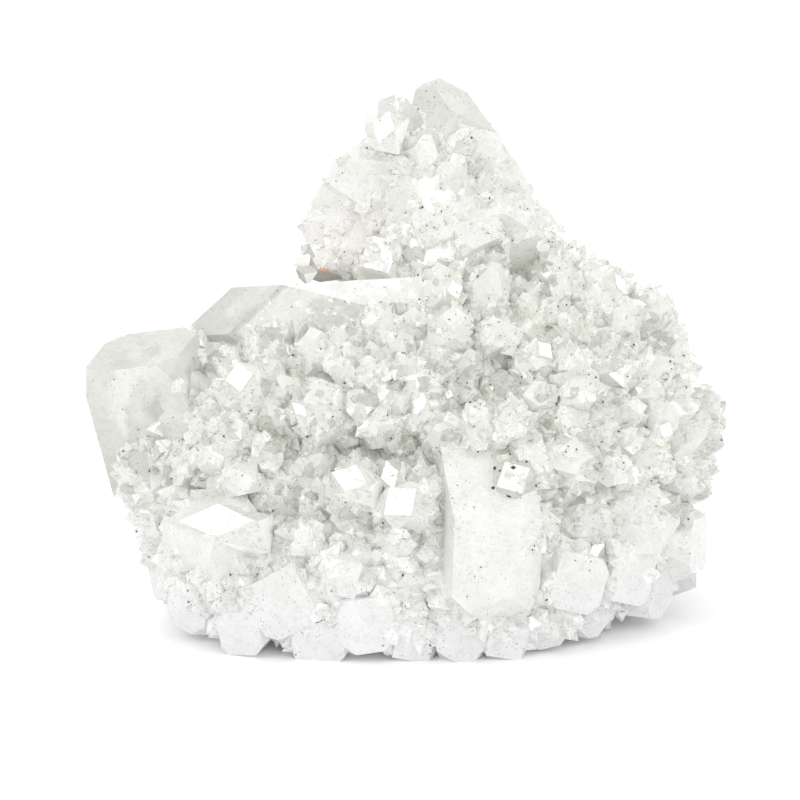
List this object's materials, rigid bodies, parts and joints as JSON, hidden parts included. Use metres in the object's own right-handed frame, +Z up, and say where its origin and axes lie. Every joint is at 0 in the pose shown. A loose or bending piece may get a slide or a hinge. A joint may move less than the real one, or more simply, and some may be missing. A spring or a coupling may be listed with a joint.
{
  "type": "apophyllite specimen",
  "caption": "Free-standing cluster of pale apophyllite crystals, with a peak, a broad druse front and a flat foot where it was parted from its rock.",
  "frame": {"origin": "middle of the specimen's bounding box, on the plane of its flat foot", "axes": "+Z up from the foot to the peak; the druse front faces -Y; +X is to the right as seen from the front"},
  "size_m": [0.1006, 0.0628, 0.0845],
  "materials": {
    "apophyllite": "glassy to milky, translucent crystal faces"
  },
  "bodies": {
    "root": {"apophyllite_cluster": "apophyllite"}
  },
  "joints": []
}
